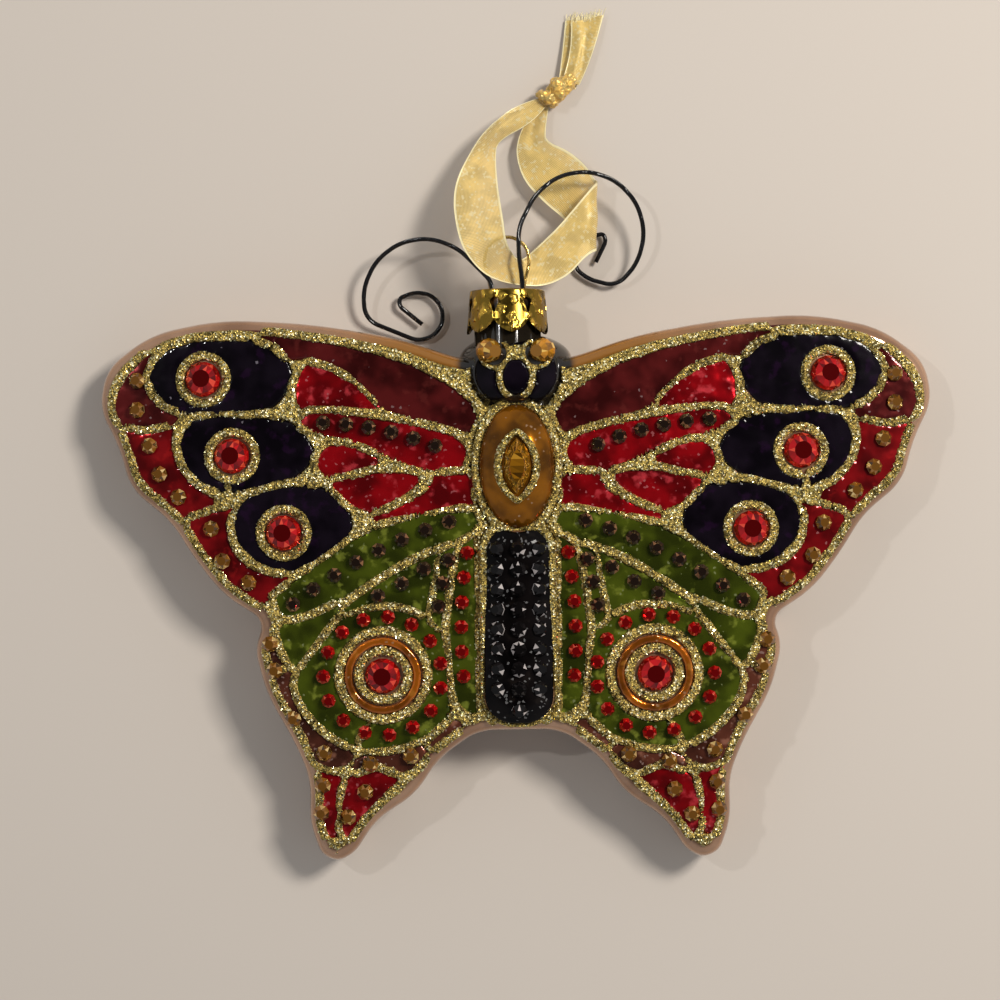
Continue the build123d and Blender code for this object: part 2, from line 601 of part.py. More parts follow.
def ribbon_knot():
    """The drawn-tight knot with its gathered neck towards the tails."""
    neck_radius, neck_length = KNOT_NECK
    half = KNOT_LENGTH / 2
    swell = Spline((-half, 0.3 * KNOT_RADIUS), (-0.4 * half, 0.9 * KNOT_RADIUS), (0.3 * half, KNOT_RADIUS),
                   (half, 1.1 * neck_radius), (half + neck_length, neck_radius))
    base = Polyline(swell @ 1, (half + neck_length, 0), (-half, 0), swell @ 0)
    body = revolve(make_face([swell, base]), Axis.X)
    upward = Vector(0, 0, 1) - Vector(*KNOT_AXIS) * (KNOT_AXIS[2] / Vector(*KNOT_AXIS).length ** 2)
    return Plane(KNOT_PLACE, x_dir=KNOT_AXIS, z_dir=upward) * body


# All nodes

def glitter_bands():
    """Glitter bands round the thorax and abdomen, and the collar round the thorax stone."""
    bands = (thorax_oval - thorax_dome) + (abdomen_oval - pill(BAND_WIDTH) - thorax_oval)
    solid = off_body(film(bands, FILM_GAP, BAND_HEIGHT))
    area = Pos(0, THORAX[0]) * (spindle(NAVETTE_COLLAR) - spindle(NAVETTE_SEAT))
    bed = ENAMEL + FILM_GAP
    collar = skin(area, THORAX, bed, bed + GLITTER)
    return Compound(children=[*solid.solids(), *collar.solids()])


def off_body(solid):
    """A wing coating cut clear of the swellings of the body."""
    for size in (THORAX, ABDOMEN, HEAD):
        solid -= swelling(size, FILM_GAP)
    return solid


def head_coating(area, thickness):
    """A coating on the head, clear of the neck."""
    return skin(area, HEAD, FILM_GAP, thickness) - along_neck(0, NECK_MOUTH, NECK_RADIUS + FILM_GAP)


nodes = {
    "glass_shell": glass_shell(),
    "enamel_maroon": enamel(leading),
    "enamel_red": enamel(fans),
    "enamel_black": enamel(eyespots),
    "enamel_dark_red": enamel(margins),
    "enamel_green": enamel(greens),
    "enamel_brown": enamel(browns),
    "amber_rings": enamel(ambers, RING_HEIGHT),
    "thorax_lacquer": skin(thorax_dome, THORAX, FILM_GAP, ENAMEL) - swelling(HEAD, FILM_GAP),
    "abdomen_lacquer": skin(abdomen_dome, ABDOMEN, FILM_GAP, ENAMEL) - swelling(THORAX, FILM_GAP),
    "head_lacquer": head_coating(head_dome - face - both_sides(eyes), ENAMEL),
    "glitter_face": head_coating(face, GLITTER),
    "glitter_lines": off_body(film(lines, FILM_GAP, GLITTER)),
    "glitter_bands": glitter_bands(),
    "ruby_stones": wing_stones(RUBY, 12, ruby_places, 0),
    "ruby_beads": wing_stones(RUBY_BEAD, 6, bead_places(), GLITTER),
    "smoke_stones": wing_stones(SMOKE, 6, row_places(SMOKE_ROWS), GLITTER),
    "topaz_stones": wing_stones(TOPAZ, 6, row_places(TOPAZ_ROWS), GLITTER),
    "jet_stones": body_stones(JET, 6, ABDOMEN, jet_places(), ENAMEL),
    "eye_stones": body_stones(EYE, 8, HEAD, mirrored([EYE_PLACE]), ENAMEL),
    "navette_stone": swelling_seat(THORAX, 0, THORAX[0], ENAMEL + FILM_GAP) * navette(),
    "crown_cap": crown_cap(),
    "hanger_wire": hanger_wire(),
    "antenna_left": antenna(-1, LEFT_RUN, LEFT_TURNS, LEFT_TIP),
    "antenna_right": antenna(1, RIGHT_RUN, RIGHT_TURNS, RIGHT_TIP),
    "ribbon_loop": strip(RIBBON_EDGES),
    "ribbon_knot": ribbon_knot(),
    "ribbon_tails": Compound(children=[strip(edges) for edges in TAIL_EDGES]),
}

os.makedirs("parts", exist_ok=True)
for name, shape in nodes.items():
    export_step(shape, f"parts/{name}.step")
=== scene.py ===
"""Finishes and fine pieces of a glass butterfly ornament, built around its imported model."""
import math
import random
from collections import namedtuple

import bpy
from bpy.props import FloatProperty, FloatVectorProperty, IntProperty, PointerProperty
from mathutils import Matrix, Vector
from mathutils.bvhtree import BVHTree


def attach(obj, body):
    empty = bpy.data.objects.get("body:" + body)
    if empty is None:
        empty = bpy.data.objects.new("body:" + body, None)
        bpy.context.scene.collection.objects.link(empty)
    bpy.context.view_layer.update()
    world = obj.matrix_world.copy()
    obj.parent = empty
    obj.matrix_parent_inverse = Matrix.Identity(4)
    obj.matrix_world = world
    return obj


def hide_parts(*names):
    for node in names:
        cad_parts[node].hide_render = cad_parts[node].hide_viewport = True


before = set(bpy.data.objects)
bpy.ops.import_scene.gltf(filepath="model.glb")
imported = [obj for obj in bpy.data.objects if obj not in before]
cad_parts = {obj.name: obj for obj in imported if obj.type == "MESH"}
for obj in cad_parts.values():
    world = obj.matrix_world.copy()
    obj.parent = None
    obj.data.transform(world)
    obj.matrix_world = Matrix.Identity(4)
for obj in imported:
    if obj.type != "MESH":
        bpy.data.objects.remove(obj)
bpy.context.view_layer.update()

bl_info = {
    "name": "Butterfly ornament",
    "version": (1, 0, 0),
    "blender": (4, 5, 0),
    "location": "3D View > Sidebar > Ornament",
    "description": "Dresses the packed butterfly ornament with lacquer, glitter, stones and ribbon",
    "category": "Object",
}

MM = 0.001
TURN = 2 * math.pi
WHITE = (1.0, 1.0, 1.0)

# Meshes: how near corners are merged, and rounds of smoothing
WELD = 0.002 * MM
ROUNDING = 3

# Edges up to these angles are shaded smooth, in degrees
SHELL_CREASE, CAP_CREASE, CLOTH_CREASE, WIRE_CREASE, ALL_EDGES = 32, 35, 60, 75, 180

# Which faces look down, and which are walls, by the upward part of their normals
LOOKS_DOWN, WALL = -0.5, 0.6

# How far inside a wall the search for the opposite one starts, in mm
STEP_INSIDE = 0.05

# Lustre round the head, in mm: middle and reach of the amber glow, middle and rim of the dark paint
GLOW_Y, GLOW_REACH = 21, (22, 11)
DARK_Y, DARK_RIM = 19.5, (9.2, 7.8)

# Flakes: their shape, how their sizes vary, how far up a face looks that holds them, and lumps under them
FLAKE_SHAPE = (1, 0.8, 0.18)
FLAKE_LEAST, FLAKE_MOST = 0.55, 1.2
LOOKS_UP = 0.35
LUMP_PITCH, LUMP_MIDDLE = 0.5 * MM, 0.35

# Cut stones of radius 1: girdle height, rise and radius of each tier, and the least painted facet
# brightness, which stands for reflection
GIRDLE = 0.25
LARGE_TIERS = [(0.4, 0.82), (0.35, 0.5)]
SMALL_TIERS = [(0.75, 0.55)]
DIMMEST_PAINTED_FACET = 0.3
GOLDEN_SHARE = (math.sqrt(5) - 1) / 2

# Facets are numbered by their distance from this point, so that every run numbers them alike
FACETS_FROM = (3.1, 1.7, 2.3)

# Cloth: threads and ripples across it, ripple pitch along it, and lanes, steps and ripple of each band
THREADS = 34
RIPPLES = 1.5
RIPPLE_PITCH = 3.1 * MM
LOOP_CLOTH = (10, 10, 0.12 * MM)
TAIL_CLOTH = (6, 14, 0.25 * MM)

# Frayed threads: number, radius, the way they run and lean, their reach in mm and where they bend
FRAY_THREADS = 30
FRAY_RADIUS = 0.045 * MM
FRAY_ONWARD = Vector((0.12, 1, 0))
FRAY_SIDEWAYS = (-0.5, 0.5)
FRAY_LIFT = (-0.1, 0.35)
FRAY_REACH = (0.2, 1.2)
FRAY_BENDS = (-0.4, 0.5, 1)

# Knot: slant, place and size of its wad, place and tilt of the turns round it, their radii, and pleats
KNOT_SLANT = math.radians(41)
KNOT_PLACE = Vector((6.9, 62.2, 1.9)) * MM
KNOT_SIZE = Vector((3.1, 1.5, 1.5)) * MM
KNOT_TURNS = [(Vector((5.1, 60.8, 2.0)) * MM, 0.3), (Vector((6.6, 62.2, 2.2)) * MM, -0.45)]
KNOT_TURN_RADIUS, KNOT_TURN_THICKNESS = 1.1 * MM, 0.75 * MM
KNOT_GRAIN = 0.14 * MM
PLEAT_PITCH, PLEAT_DEPTH, PLEAT_MIDDLE, PLEAT_TWIST = 0.45 * MM, 0.34 * MM, 0.6, 5

# Stage: what the camera looks at, its roll, the floor and lamps in metres, and where the sky dims
VIEW_MIDDLE = Vector((-2.45, 2.1, 8)) * MM
CAMERA_ROLL = math.radians(-0.6)
CLIP_NEAR, CLIP_FAR = 0.01, 10
FLOOR_SIZE, FLOOR_DROP = 4, 0.05 * MM
LAMP_DISTANCE = 0.62
KEY_SIDE, KEY_SIZE, KEY_TINT = Vector((0.545, 0.36, 0.755)), 0.13, (1.0, 0.95, 0.88)
GLINT_SIDE, GLINT_SIZE = Vector((-0.5, 0.3, 0.81)), 0.02
SKY_OVERHEAD, SKY_ASIDE, SKY_LEAST = 0.97, 0.6, 0.1

# Ribbon loop: its two selvedges from the knot, over the ring, behind its right side and back, in mm
RIBBON_EDGES = [
    ((4.0, 60.9, 2.2), (4.8, 59.6, 2.2)), ((0.6, 60.0, 2.9), (3.0, 57.2, 3.0)),
    ((-4.0, 56.1, 4.9), (-2.4, 54.6, 2.9)), ((-6.2, 52.8, 5.6), (-2.6, 52.0, 2.9)),
    ((-8.2, 48.9, 6.8), (-2.4, 48.6, 4.6)), ((-8.8, 45.4, 8.4), (-2.0, 45.2, 7.2)),
    ((-8.4, 41.7, 10.1), (-1.5, 42.0, 9.8)), ((-7.6, 38.6, 10.7), (-1.3, 39.9, 10.7)),
    ((-6.2, 36.4, 10.5), (-0.9, 38.5, 9.9)), ((-4.3, 34.5, 10.0), (-0.3, 37.6, 8.6)),
    ((-2.0, 33.5, 9.1), (0.4, 36.9, 7.4)), ((1.0, 33.0, 7.6), (1.3, 36.9, 6.6)),
    ((4.6, 33.0, 6.5), (3.2, 38.6, 6.2)), ((7.9, 34.6, 6.0), (6.2, 41.4, 6.0)),
    ((10.0, 37.0, 5.6), (8.8, 44.4, 5.7)), ((11.3, 38.0, 5.2), (11.5, 47.6, 5.4)),
    ((12.2, 38.3, 4.0), (12.4, 48.4, 4.2)), ((11.2, 38.8, 2.8), (11.8, 48.8, 3.0)),
    ((7.6, 43.0, 2.4), (10.6, 51.0, 2.7)), ((4.2, 45.8, 2.3), (8.0, 53.2, 2.5)),
    ((0.9, 49.6, 2.0), (5.2, 54.4, 2.1)), ((0.2, 55.6, 1.4), (4.6, 55.8, 1.5)),
    ((3.4, 59.6, 1.2), (5.4, 60.2, 1.2)),
]
# Tails: the two selvedges of each from the knot to its cut end, in mm
TAIL_EDGES = [
    [((6.8, 63.6, 1.2), (9.2, 62.2, 1.2)), ((7.4, 67.4, 0.7), (11.2, 66.6, 0.6)),
     ((7.9, 72.5, 0.4), (13.0, 72.8, 0.4))],
    [((7.4, 63.8, 2.0), (9.8, 62.8, 1.8)), ((8.9, 67.8, 1.5), (11.9, 66.8, 1.2)),
     ((8.7, 72.1, 0.9), (13.5, 73.2, 0.9))],
]

# A coat of lacquer with painted sheen and painted glints, and a set of like stones, whose table is the
# painted brightness of the flat top: a painted reflection
Coat = namedtuple("Coat", "node slot shade sheen streaky sparkle metallic specular")
StoneSet = namedtuple("StoneSet", "node pattern slot shade table depth glint metallic gloss")


# Settings

def colour(name, words, value):
    """A colour that a user may change."""
    return FloatVectorProperty(
        name=name, description=words, subtype="COLOR", size=3, min=0, max=1, default=value)


def length(name, words, millimetres):
    """A length that a user may change."""
    return FloatProperty(
        name=name, description=words, unit="LENGTH", min=0, precision=6, default=millimetres * MM)


def amount(name, words, value):
    """A plain number that a user may change."""
    return FloatProperty(name=name, description=words, min=0, default=value)


def count(name, words, least, most, value):
    """A whole number that a user may change."""
    return IntProperty(name=name, description=words, min=least, max=most, default=value)


class GlassSettings(bpy.types.PropertyGroup):
    """The lustred glass."""
    copper: colour("Copper", "Lustre of the wing edges and the back", (0.3, 0.15, 0.075))
    pale: colour("Pale copper", "Paler patches of the lustre", (0.46, 0.26, 0.15))
    amber: colour("Amber", "Lustre beside the head", (0.38, 0.15, 0.012))
    dark: colour("Dark head", "Dark paint of the head and neck", (0.016, 0.012, 0.008))
    waviness: length("Waviness", "Height of the waves in the blown wall", 0.12)


class LacquerSettings(bpy.types.PropertyGroup):
    """Colours of the lacquered cells."""
    maroon: colour("Maroon", "Leading band of the forewings", (0.085, 0.008, 0.008))
    red: colour("Red", "Fan cells and tails", (0.38, 0.002, 0.006))
    black: colour("Black", "Eyespots and body", (0.005, 0.003, 0.006))
    violet: colour("Violet", "Sheen of the eyespots", (0.045, 0.008, 0.06))
    dark_red: colour("Dark red", "Outer cells of the forewings", (0.22, 0.004, 0.006))
    green: colour("Green", "Hindwing cells", (0.095, 0.125, 0.007))
    brown: colour("Brown", "Outer cells of the hindwings", (0.13, 0.036, 0.02))
    amber: colour("Amber", "Rings of the hindwing eyes", (0.46, 0.12, 0.006))
    thorax: colour("Thorax", "Dome of the thorax", (0.26, 0.09, 0.004))
    pool: length("Pool depth", "How far a pool of lacquer reaches into the glass", 0.8)
    run: length("Run", "How far a pool runs out under the glitter round it", 0.6)
    grain: length("Mesh grain", "Mesh size of the lacquer pools", 0.26)


class GlitterSettings(bpy.types.PropertyGroup):
    """Gold glitter."""
    gold: colour("Gold", "Bed of the glitter", (0.4, 0.29, 0.075))
    flake: colour("Flake", "Single flakes", (1.0, 0.86, 0.46))
    flake_size: length("Flake size", "Width of a flake", 0.3)
    line: length("Line width", "Width that the lines are evened out to", 1.15)
    swell: length("Line swell", "The most that a thin line is widened by", 0.45)
    density: amount("Flakes", "Flakes on each square millimetre", 3.6)
    roughness: length("Bed roughness", "Height of the grains in the bed", 0.22)
    grain: length("Mesh grain", "Mesh size of the glitter bed", 0.31)


class StoneSettings(bpy.types.PropertyGroup):
    """Flat-back stones."""
    ruby: colour("Ruby", "Large stones and the small red ones", (0.44, 0.003, 0.005))
    smoke: colour("Smoke", "Small dark stones of the fans and bands", (0.034, 0.017, 0.01))
    topaz: colour("Topaz", "Stones of the outer cells and tails", (0.27, 0.11, 0.014))
    jet: colour("Jet", "Stones of the abdomen", (0.006, 0.005, 0.005))
    amber: colour("Amber", "Eyes and the thorax stone", (0.58, 0.24, 0.01))
    sides: count("Sides", "Facets round a large stone", 6, 24, 14)
    small_sides: count("Small sides", "Facets round a small stone", 5, 12, 8)


class MetalSettings(bpy.types.PropertyGroup):
    """Cap and wires."""
    cap: colour("Cap", "Stamped cap", (0.72, 0.45, 0.07))
    wire: colour("Hanger", "Hanger wire", (0.72, 0.5, 0.16))
    black: colour("Antennae", "Lacquered antenna wire", (0.008, 0.008, 0.009))
    relief: length("Relief", "Height of the stamped scrolls", 0.18)


class RibbonSettings(bpy.types.PropertyGroup):
    """Organza ribbon."""
    gold: colour("Organza", "Threads of the ribbon", (0.88, 0.64, 0.2))
    pale: colour("Selvedge", "Bright edge threads", (0.95, 0.84, 0.48))
    sheet: length("Thickness", "Thickness of the cloth", 0.12)
    width: length("Width", "Width of the ribbon", 7)
    loop: length("Loop length", "Length from the knot round the ring and back", 71)
    opacity: FloatProperty(
        name="Opacity", description="Share of light that the weave stops", subtype="FACTOR", min=0, max=1,
        default=0.62)


class StageSettings(bpy.types.PropertyGroup):
    """Floor, lamps and camera."""
    floor: colour("Floor", "Pale floor", (0.6, 0.54, 0.48))
    sky: colour("Surroundings", "Soft light from all round", (0.95, 0.97, 1.0))
    sky_level: amount("Surround level", "Strength of the light from all round", 0.5)
    key_level: amount("Key level", "Power of the key lamp in watts", 3.2)
    glint_level: amount("Glint level", "Power of the small lamp in watts", 0.45)
    distance: length("Camera distance", "From the ornament's front to the camera", 400)
    view_width: length("View width", "Width of the picture at the ornament's front", 144.4)


def settings(group):
    """One group of settings of this scene."""
    return getattr(bpy.context.scene, "ornament_" + group)


# Selecting and finishing

def only(*objects):
    """Selects these objects and nothing else."""
    bpy.ops.object.select_all(action="DESELECT")
    for item in objects:
        item.select_set(True)
    bpy.context.view_layer.objects.active = objects[0]


def put(name, data):
    """A new object in the scene that holds this mesh or curve."""
    piece = bpy.data.objects.new(name, data)
    bpy.context.scene.collection.objects.link(piece)
    return piece


def edit(piece, chosen):
    """Opens a piece for editing with the faces selected that the test picks."""
    only(piece)
    bpy.ops.object.mode_set(mode="EDIT")
    bpy.ops.mesh.select_mode(type="FACE")
    bpy.ops.mesh.select_all(action="DESELECT")
    bpy.ops.object.mode_set(mode="OBJECT")
    for face in piece.data.polygons:
        face.select = chosen(face)
    bpy.ops.object.mode_set(mode="EDIT")


def leave_edit():
    """Closes the piece that is open for editing."""
    bpy.ops.object.mode_set(mode="OBJECT")


def modify(piece, kind, **values):
    """Adds a modifier with these values and applies it."""
    only(piece)
    modifier = piece.modifiers.new(kind.lower(), kind)
    for key, value in values.items():
        setattr(modifier, key, value)
    bpy.ops.object.modifier_apply(modifier=modifier.name)


def node_copy(node, name):
    """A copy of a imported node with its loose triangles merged."""
    piece = put(name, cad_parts[node].data.copy())
    piece.data.materials.clear()
    edit(piece, lambda face: True)
    bpy.ops.mesh.remove_doubles(threshold=WELD)
    leave_edit()
    return piece


def finish(piece, body, material, slot, *nodes):
    """Gives a piece its finish, its body and the nodes that it stands for."""
    piece.data.materials.clear()
    piece.data.materials.append(material)
    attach(piece, body)
    if nodes:
        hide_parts(*nodes)
    return piece


def smooth(piece, degrees):
    """Smooth shading except over sharper edges."""
    only(piece)
    bpy.ops.object.shade_smooth_by_angle(angle=math.radians(degrees))


# Finishes

class Value:
    """A shader socket that sums can be written with."""

    def __init__(self, paint, socket):
        self.paint = paint
        self.socket = socket

    def maths(self, operation, first, second):
        """Adds one Math node."""
        return self.paint.node("ShaderNodeMath", {"operation": operation}, {0: first, 1: second})

    def sine(self):
        """The sine of this value."""
        return self.paint.node("ShaderNodeMath", {"operation": "SINE"}, {0: self})

    def __abs__(self):
        return self.paint.node("ShaderNodeMath", {"operation": "ABSOLUTE"}, {0: self})

    def __add__(self, other):
        return self.maths("ADD", self, other)

    def __sub__(self, other):
        return self.maths("SUBTRACT", self, other)

    def __rsub__(self, other):
        return self.maths("SUBTRACT", other, self)

    def __mul__(self, other):
        return self.maths("MULTIPLY", self, other)

    def __truediv__(self, other):
        return self.maths("DIVIDE", self, other)

    def __pow__(self, other):
        return self.maths("POWER", self, other)

    def __gt__(self, other):
        return self.maths("GREATER_THAN", self, other)

    __radd__ = __add__
    __rmul__ = __mul__


class Paint:
    """One material, or the world, and the nodes that make it."""

    def __init__(self, name, world=None):
        self.material = world or bpy.data.materials.new(name)
        self.material.use_nodes = True
        self.tree = self.material.node_tree
        if not world:
            self.tree.nodes.clear()

    def node(self, kind, choices=None, sockets=None, output=0):
        """Adds a node: its choices first, then the values or links of its sockets."""
        made = self.tree.nodes.new(kind)
        for key, value in (choices or {}).items():
            setattr(made, key, value)
        for key, value in (sockets or {}).items():
            if isinstance(value, Value):
                self.tree.links.new(value.socket, made.inputs[key])
            else:
                made.inputs[key].default_value = value
        return Value(self, made.outputs[output]) if made.outputs else made

    def place(self):
        """Position on the ornament."""
        return self.node("ShaderNodeTexCoord", output="Object")

    def axis(self, place, letter):
        """One coordinate of a position."""
        return self.node("ShaderNodeSeparateXYZ", {}, {0: place}, letter)

    def noise(self, pitch, detail=2.0, output=0):
        """Soft patches about a pitch apart, in millimetres."""
        sockets = {"Vector": self.place(), "Scale": 1 / (pitch * MM), "Detail": detail}
        return self.node("ShaderNodeTexNoise", {}, sockets, output)

    def grains(self, pitch, output="Distance", place=None):
        """Separate grains about a pitch apart, in millimetres."""
        sockets = {"Vector": place or self.place(), "Scale": 1 / (pitch * MM)}
        return self.node("ShaderNodeTexVoronoi", {}, sockets, output)

    def grey(self, shade):
        """A single number from a colour."""
        return self.node("ShaderNodeSeparateColor", {}, {0: shade}, "Red")

    def ramp(self, value, low, high):
        """Runs from 0 at the low value to 1 at the high one, smoothly."""
        sockets = {"Value": value, "From Min": low, "From Max": high}
        return self.node("ShaderNodeMapRange", {"interpolation_type": "SMOOTHSTEP"}, sockets)

    def mix(self, share, first, second):
        """Blends two colours."""
        sockets = {0: share, 6: opaque(first), 7: opaque(second)}
        return self.node("ShaderNodeMix", {"data_type": "RGBA"}, sockets, 2)

    def bump(self, height, rise):
        """A relief that rises so far, in metres, where the height is 1."""
        return self.node("ShaderNodeBump", {}, {"Height": height, "Distance": rise})

    def surface(self, **sockets):
        """Finishes the material."""
        named = {key.replace("_", " "): value for key, value in sockets.items()}
        named["Base Color"] = opaque(named["Base Color"])
        shader = self.node("ShaderNodeBsdfPrincipled", {}, named)
        self.node("ShaderNodeOutputMaterial", {}, {"Surface": shader})
        return self.material


def opaque(shade):
    """A colour with its fourth number, or a link as it is."""
    return shade if isinstance(shade, Value) else (*shade, 1)


def dimmed(shade, share):
    """A darker or lighter version of a colour."""
    return tuple(min(part * share, 1) for part in shade)


def lustre_glass():
    """Blown glass with a copper lustre, amber beside the head and dark on it."""
    choice = settings("glass")
    paint = Paint("lustre_glass")
    place = paint.place()
    across = paint.axis(place, "X") / MM
    along = paint.axis(place, "Y") / MM
    patches = paint.ramp(paint.noise(9, 3), 0.35, 0.65)
    lustre = paint.mix(patches, choice.copper, choice.pale)
    from_glow = along - GLOW_Y
    to_glow = (across * across * 0.45 + from_glow * from_glow) ** 0.5
    lustre = paint.mix(paint.ramp(to_glow, *GLOW_REACH), lustre, choice.amber)
    from_dark = along - DARK_Y
    to_dark = (across * across + from_dark * from_dark * 0.5) ** 0.5
    painted = paint.ramp(to_dark, *DARK_RIM)
    lustre = paint.mix(painted, lustre, choice.dark)
    return paint.surface(
        Base_Color=lustre, Metallic=0.55 - painted * 0.5, Roughness=paint.noise(6) * 0.12 + 0.08,
        Coat_Weight=1 - painted * 0.75, Coat_Roughness=0.04,
        Normal=paint.bump(paint.noise(7, 1), choice.waviness))


def lacquer(coat):
    """Glossy see-in lacquer over silvered glass: pooled dark patches, streaks of painted sheen and specks of
    painted glint from fine flakes.
    """
    paint = Paint("lacquer_" + coat.node)
    pooled = paint.ramp(paint.noise(4.5, 2), 0.34, 0.66)
    tone = paint.mix(pooled, dimmed(coat.shade, 0.4), dimmed(coat.shade, 1.2))
    # Streaks of painted sheen: the sheen colour is mixed into the base colour
    sheen_streaks = paint.ramp(paint.noise(2.0, 4), 0.55, 0.7)
    tone = paint.mix(sheen_streaks * coat.streaky, tone, coat.sheen)
    # Bright specks: painted glints of fine flakes in the lacquer
    flake_glint = paint.grey(paint.grains(0.3, "Color")) > 1 - coat.sparkle
    tone = paint.mix(flake_glint * 0.7, tone, tuple(0.6 * part + 0.16 for part in coat.sheen))
    relief = paint.noise(2.6, 1) * (0.25 + 2.2 * coat.streaky)
    return paint.surface(
        Base_Color=tone, Metallic=coat.metallic, Roughness=paint.noise(2.2) * 0.14 + 0.1,
        Specular_IOR_Level=0.25 * coat.specular, Coat_Weight=min(3 * coat.specular, 0.7),
        Coat_Roughness=0.03, Normal=paint.bump(relief, 0.14 * MM))


def glitter_bed():
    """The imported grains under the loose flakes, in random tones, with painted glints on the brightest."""
    choice = settings("glitter")
    paint = Paint("glitter_bed")
    grain = paint.grey(paint.grains(0.24, "Color"))
    tone = paint.mix(paint.ramp(grain, 0.05, 0.95), dimmed(choice.gold, 0.22), dimmed(choice.gold, 1.6))
    # Near-white grains: painted glints
    tone = paint.mix((grain > 0.9) * 0.9, tone, (1.0, 0.93, 0.62))
    return paint.surface(
        Base_Color=tone, Metallic=0.75, Roughness=paint.grey(paint.grains(0.3, "Color")) * 0.35 + 0.22,
        Normal=paint.bump(paint.grains(0.24), 0.16 * MM))


def glitter_flake():
    """Bright foil of a single flake."""
    choice = settings("glitter")
    paint = Paint("glitter_flake")
    tint = paint.grey(paint.grains(0.5, "Color"))
    tone = paint.mix(tint, dimmed(choice.flake, 0.6), dimmed(choice.flake, 1.15))
    return paint.surface(Base_Color=tone, Metallic=1.0, Roughness=tint * 0.12 + 0.14)


def stone_finish(stones):
    """Foil-backed glass: each facet is painted its own brightness as a painted reflection, and a few are
    painted as glints.
    """
    paint = Paint("stone_" + stones.node)
    # Each facet's painted brightness stands for its reflection, and the brightest are painted glints
    facet = paint.node("ShaderNodeAttribute", {"attribute_name": "facet"}, output="Fac")
    shaded_facet, lit_facet = dimmed(stones.shade, stones.depth), dimmed(stones.shade, 1.5)
    tone = paint.mix(paint.ramp(facet, 0.2, 0.95), shaded_facet, lit_facet)
    tone = paint.mix((facet > 0.9) * 0.8, tone, stones.glint)
    return paint.surface(
        Base_Color=tone, Metallic=stones.metallic, Roughness=paint.noise(1.5) * 0.06 + 0.04,
        Specular_IOR_Level=stones.gloss, Coat_Weight=stones.gloss, Coat_Roughness=0.02)


def cap_metal():
    """Stamped gilt metal with scrolls in relief, with painted shade in the hollows between them."""
    choice = settings("metal")
    paint = Paint("cap_metal")
    place = paint.place()
    swirl = paint.noise(1.3, 1, output=1)
    curls = paint.node("ShaderNodeVectorMath", {"operation": "MULTIPLY_ADD"},
                       {0: swirl, 1: (1.6 * MM, 1.6 * MM, 1.6 * MM), 2: place})
    shaded_hollow = paint.ramp(paint.grains(1.5, "Distance", curls), 0.18, 0.5)
    # Hollows between the raised scrolls are painted dark and the raised parts lighter: painted shade and
    # light
    tone = paint.mix(shaded_hollow, dimmed(choice.cap, 1.15), dimmed(choice.cap, 0.35))
    return paint.surface(
        Base_Color=tone, Metallic=1.0, Roughness=paint.noise(0.8) * 0.14 + 0.14,
        Normal=paint.bump(1 - shaded_hollow, choice.relief))


def wire_metal():
    """Drawn gilt wire."""
    choice = settings("metal")
    paint = Paint("wire_metal")
    worn = paint.ramp(paint.noise(1.2), 0.35, 0.7)
    tone = paint.mix(worn, dimmed(choice.wire, 0.7), choice.wire)
    return paint.surface(Base_Color=tone, Metallic=1.0, Roughness=worn * 0.15 + 0.15)


def antenna_black():
    """Thick black lacquer on wire."""
    choice = settings("metal")
    paint = Paint("antenna_black")
    worn = paint.ramp(paint.noise(1.6, 3), 0.55, 0.8)
    tone = paint.mix(worn, choice.black, dimmed(choice.black, 2))
    return paint.surface(Base_Color=tone, Roughness=worn * 0.2 + 0.12, Specular_IOR_Level=0.25)


def organza():
    """Sheer gold cloth: crossing threads, with brighter selvedges, patches of painted sheen and painted
    glints.
    """
    choice = settings("ribbon")
    paint = Paint("organza")
    weave = paint.node("ShaderNodeUVMap", {"uv_map": "weave"})
    across = paint.axis(weave, "X")
    along = paint.axis(weave, "Y")
    warp = (across * (TURN * THREADS)).sine()
    weft = (along * (TURN * THREADS)).sine()
    thread = paint.ramp(warp + weft, -1.2, 1.2)
    from_edge = 0.5 - abs(across - 0.5)
    edge = paint.ramp(from_edge, 0.06, 0.03)
    # Soft patches of painted sheen, which also vary the roughness
    sheen = paint.ramp(paint.noise(2.4), 0.35, 0.65)
    tone = paint.mix(sheen, dimmed(choice.gold, 0.88), dimmed(choice.gold, 1.12))
    # Pale specks: painted glints of the threads
    glint = paint.grey(paint.grains(0.35, "Color")) > 0.86
    tone = paint.mix(glint * 0.7, tone, choice.pale)
    tone = paint.mix(edge, tone, choice.pale)
    alpha = thread * 0.34 + (choice.opacity - 0.17)
    return paint.surface(
        Base_Color=tone, Alpha=alpha.maths("MAXIMUM", alpha, edge), Roughness=sheen * 0.15 + 0.32,
        Metallic=0.25, Sheen_Weight=0.4, Normal=paint.bump(thread, 0.04 * MM))


def knot_cloth():
    """Organza drawn tight into a knot, with painted shade and light on its pleats."""
    choice = settings("ribbon")
    paint = Paint("knot_cloth")
    pleat_shade = paint.ramp(paint.noise(0.9, 3), 0.3, 0.7)
    # Darker and lighter patches: painted shade and light of the pleats
    tone = paint.mix(pleat_shade, dimmed(choice.gold, 0.6), (0.85, 0.5, 0.09))
    return paint.surface(
        Base_Color=tone, Roughness=pleat_shade * 0.2 + 0.24, Metallic=0.45, Sheen_Weight=0.4,
        Normal=paint.bump(paint.noise(0.3, 2), 0.08 * MM))


# Ribbon

